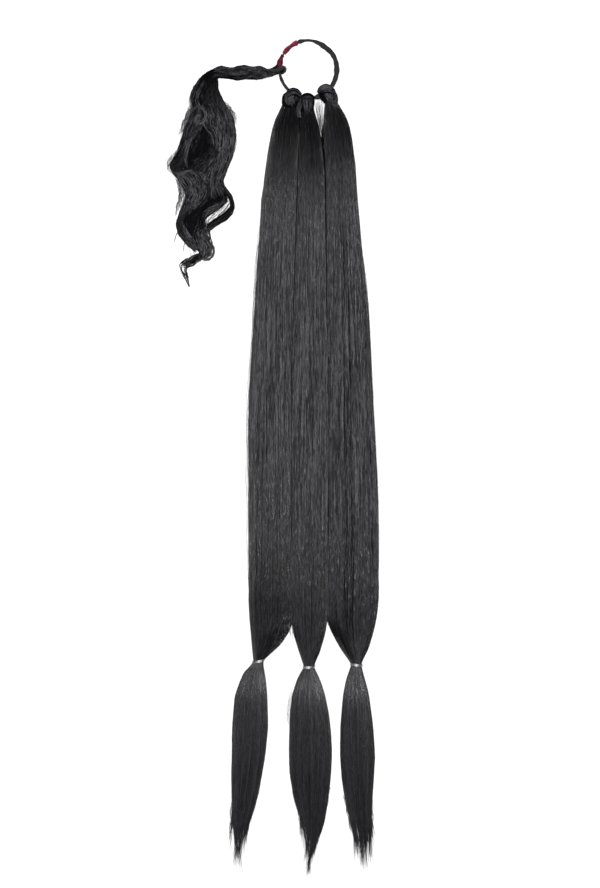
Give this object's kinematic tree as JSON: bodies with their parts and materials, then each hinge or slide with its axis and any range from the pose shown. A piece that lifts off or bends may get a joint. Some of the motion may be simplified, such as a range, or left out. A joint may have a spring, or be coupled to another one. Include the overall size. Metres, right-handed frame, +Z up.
{
  "type": "ponytail hair extension with tied hanks",
  "caption": "Ponytail hair extension: long straight hanks knotted on a round hair elastic, each closed by a small clear band, with a wavy wrap strand at the side.",
  "frame": {"origin": "middle of the underside, on the surface that the piece lies on", "axes": "+Y from the tips of the hair to the elastic, +X to the right seen from above, +Z up"},
  "size_m": [0.1752, 0.7016, 0.016],
  "materials": {
    "hair": "black synthetic hair fibre with a soft sheen along its length",
    "elastic": "black braided cover on a rubber core",
    "thread": "crimson thread wound in close turns",
    "clear_band": "clear stretchy band, glossy"
  },
  "bodies": {
    "root": {"elastic_ring": "elastic", "red_binding_upper": "thread", "red_binding_lower": "thread", "knot_left": "hair", "knot_middle": "hair", "knot_right": "hair", "hank_left": "hair", "hank_middle": "hair", "hank_right": "hair", "tie_left": "clear_band", "tie_middle": "clear_band", "tie_right": "clear_band", "wrap_knot": "hair", "wrap_rope": "hair", "wrap_lock": "hair"}
  },
  "joints": []
}
